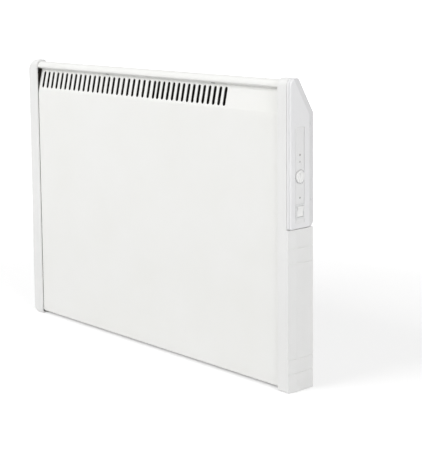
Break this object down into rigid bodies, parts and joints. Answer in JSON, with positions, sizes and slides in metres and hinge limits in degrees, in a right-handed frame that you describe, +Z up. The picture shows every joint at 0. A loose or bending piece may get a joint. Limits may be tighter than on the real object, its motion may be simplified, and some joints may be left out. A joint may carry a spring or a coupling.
{
  "type": "wall panel convector heater",
  "caption": "Slim electric panel convector heater: slotted steel front, folded steel casing, moulded end caps and a side thermostat housing with knob, lamps and rocker switch.",
  "frame": {"origin": "under the middle of the object's box, on the surface that the end caps stand on", "axes": "+X along the heater to the thermostat end, +Y from the slotted front to the wall, +Z up"},
  "size_m": [0.521, 0.0406, 0.37],
  "materials": {
    "white_paint": "satin white powder coat",
    "white_plastic": "fine satin white moulding",
    "housing_plastic": "fine satin white moulding, a shade cooler",
    "pale_plastic": "matt pale grey",
    "dark_plate": "heat-darkened steel",
    "galvanised_steel": "galvanised",
    "element_aluminium": "as extruded",
    "bright_steel": "zinc plated",
    "black_plastic": "matt black",
    "board_laminate": "green solder mask",
    "ceramic": "unglazed ceramic",
    "terminal_plastic": "cream thermoset",
    "inlet_rubber": "black rubber",
    "lamp_green": "dark green lens, unlit",
    "lamp_clear": "frosted clear lens",
    "lamp_red": "dark red lens, unlit"
  },
  "bodies": {
    "heater": {"left_end_cap": "white_plastic", "right_end_cap": "white_plastic", "front_panel": "white_paint", "rear_casing": "white_paint", "left_panel_clip": "bright_steel", "right_panel_clip": "bright_steel", "left_end_plate": "dark_plate", "right_end_plate": "dark_plate", "control_housing": "housing_plastic", "control_fascia": "pale_plastic", "lower_housing_screw": "bright_steel", "upper_housing_screw": "bright_steel", "thermostat_potentiometer": "black_plastic", "control_board": "board_laminate", "lower_board_screw": "bright_steel", "upper_board_screw": "bright_steel", "control_relay": "black_plastic", "power_lamp_lens": "lamp_green", "standby_lamp_lens": "lamp_clear", "heat_lamp_lens": "lamp_red", "rocker_body": "pale_plastic", "rocker_pin": "bright_steel", "heating_element": "element_aluminium", "heating_rod": "bright_steel", "left_element_bracket": "galvanised_steel", "left_element_bush": "ceramic", "right_element_bracket": "galvanised_steel", "right_element_bush": "ceramic", "heat_shield": "element_aluminium", "thermal_cutout": "bright_steel", "terminal_block": "terminal_plastic", "cord_inlet_bush": "inlet_rubber", "left_cap_screw_lower": "bright_steel", "right_cap_screw_lower": "bright_steel", "left_cap_screw_upper": "bright_steel", "right_cap_screw_upper": "bright_steel", "left_panel_screw": "bright_steel", "middle_panel_screw": "bright_steel", "right_panel_screw": "bright_steel"},
    "thermostat_dial": {"thermostat_knob": "white_plastic", "knob_spindle": "pale_plastic"},
    "switch_key": {"rocker_key": "white_plastic"}
  },
  "joints": [
    {"name": "thermostat_turn", "type": "hinge", "parent": "heater", "child": "thermostat_dial", "pos_m": [0.2581, -0.00525, 0.2561], "axis": [1, 0, 0], "range_deg": [-135, 135]},
    {"name": "switch_rock", "type": "hinge", "parent": "heater", "child": "switch_key", "pos_m": [0.2546, -0.00525, 0.2156], "axis": [0, -1, 0], "range_deg": [0, 16]}
  ]
}
